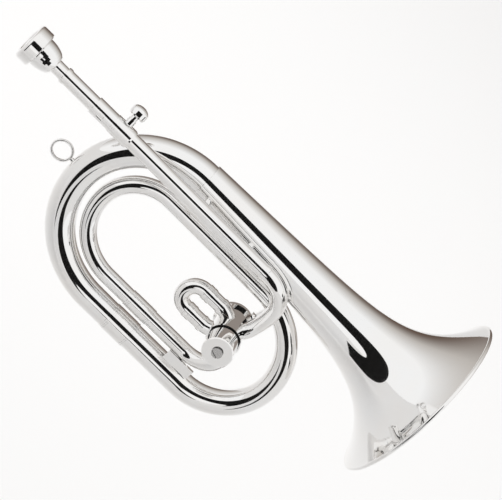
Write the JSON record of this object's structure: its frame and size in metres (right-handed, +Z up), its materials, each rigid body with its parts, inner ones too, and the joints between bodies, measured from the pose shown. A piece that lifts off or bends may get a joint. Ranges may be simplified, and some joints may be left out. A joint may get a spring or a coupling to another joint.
{
  "type": "bugle",
  "caption": "Two-loop bugle with one rotary valve, a pull slide, a sliding mouthpipe with a lock screw, and a mirror-bright nickel finish.",
  "frame": {"origin": "point on the axis of the bell's stem where the hand holds it, the mount hand_grip", "axes": "+X towards the bell's mouth, +Y away from the valve's front cap, +Z up in the playing position"},
  "size_m": [0.3882, 0.146, 0.2138],
  "materials": {
    "nickel_plate": "mirror-polished nickel or silver plate on brass",
    "steel": "turned and polished",
    "cork": "raw cork"
  },
  "bodies": {
    "body": {"tuning_receiver": "nickel_plate", "clamp_sleeve": "nickel_plate", "clamp_boss": "nickel_plate", "leadpipe": "nickel_plate", "leadpipe_ferrule": "nickel_plate", "leadpipe_bend": "nickel_plate", "valve_casing": "nickel_plate", "front_ring": "nickel_plate", "front_bearing": "nickel_plate", "rear_bearing": "nickel_plate", "rear_cover": "nickel_plate", "bumper_cups": "nickel_plate", "bumper_corks": "cork", "front_cap": "nickel_plate", "cap_screw": "steel", "barrel_spring": "steel", "lead_knuckle": "nickel_plate", "exit_knuckle": "nickel_plate", "upper_knuckle": "nickel_plate", "lower_knuckle": "nickel_plate", "port_ferrules": "nickel_plate", "upper_slide_leg": "nickel_plate", "lower_slide_leg": "nickel_plate", "exit_crook": "nickel_plate", "inner_sleeve": "nickel_plate", "inner_rear_bow": "nickel_plate", "middle_tube": "nickel_plate", "front_bow": "nickel_plate", "outer_sleeve": "nickel_plate", "big_rear_bow": "nickel_plate", "loop_brace": "nickel_plate", "stem_braces": "nickel_plate", "lead_braces": "nickel_plate", "bell": "nickel_plate", "rim_wire": "nickel_plate", "strap_ring": "nickel_plate", "ring_foot": "nickel_plate", "lever_bracket": "nickel_plate", "lever_pivot": "steel"},
    "mouthpiece": {"mouthpiece": "nickel_plate"},
    "mouthpipe": {"mouthpipe": "nickel_plate", "mouthpipe_ring": "nickel_plate"},
    "lock_screw": {"lock_screw": "nickel_plate"},
    "rotor": {"rotor": "steel", "stop_arm": "steel", "stop_arm_screw": "steel"},
    "thumb_lever": {"thumb_lever": "nickel_plate", "thumb_pad": "nickel_plate"},
    "valve_slide": {"slide_bow": "nickel_plate", "slide_tubes": "nickel_plate", "slide_ferrules": "nickel_plate"}
  },
  "joints": [
    {"name": "mouthpipe_slide", "type": "slide", "parent": "body", "child": "mouthpipe", "axis": [-1, 0, 0], "range_m": [0, 0.018]},
    {"name": "mouthpiece_pull", "type": "slide", "parent": "mouthpipe", "child": "mouthpiece", "axis": [-1, 0, 0], "range_m": [0, 0.015]},
    {"name": "lock_screw_turn", "type": "hinge", "parent": "body", "child": "lock_screw", "pos_m": [-0.12875, -0.024, -0.0065], "axis": [0, 0.4067, 0.9135], "range_deg": [-90, 90]},
    {"name": "rotor_turn", "type": "hinge", "parent": "body", "child": "rotor", "pos_m": [0.0334, 0, -0.0682], "axis": [0, -1, 0], "range_deg": [0, 90]},
    {"name": "lever_turn", "type": "hinge", "parent": "body", "child": "thumb_lever", "pos_m": [0.0484, 0, -0.034], "axis": [0, 1, 0], "range_deg": [0, 24.74]},
    {"name": "valve_slide_pull", "type": "slide", "parent": "body", "child": "valve_slide", "axis": [-1, 0, 0], "range_m": [0, 0.01]}
  ],
  "couplings": [
    {"joint": "lever_turn", "follows": "rotor_turn", "ratio": 0.27491}
  ]
}
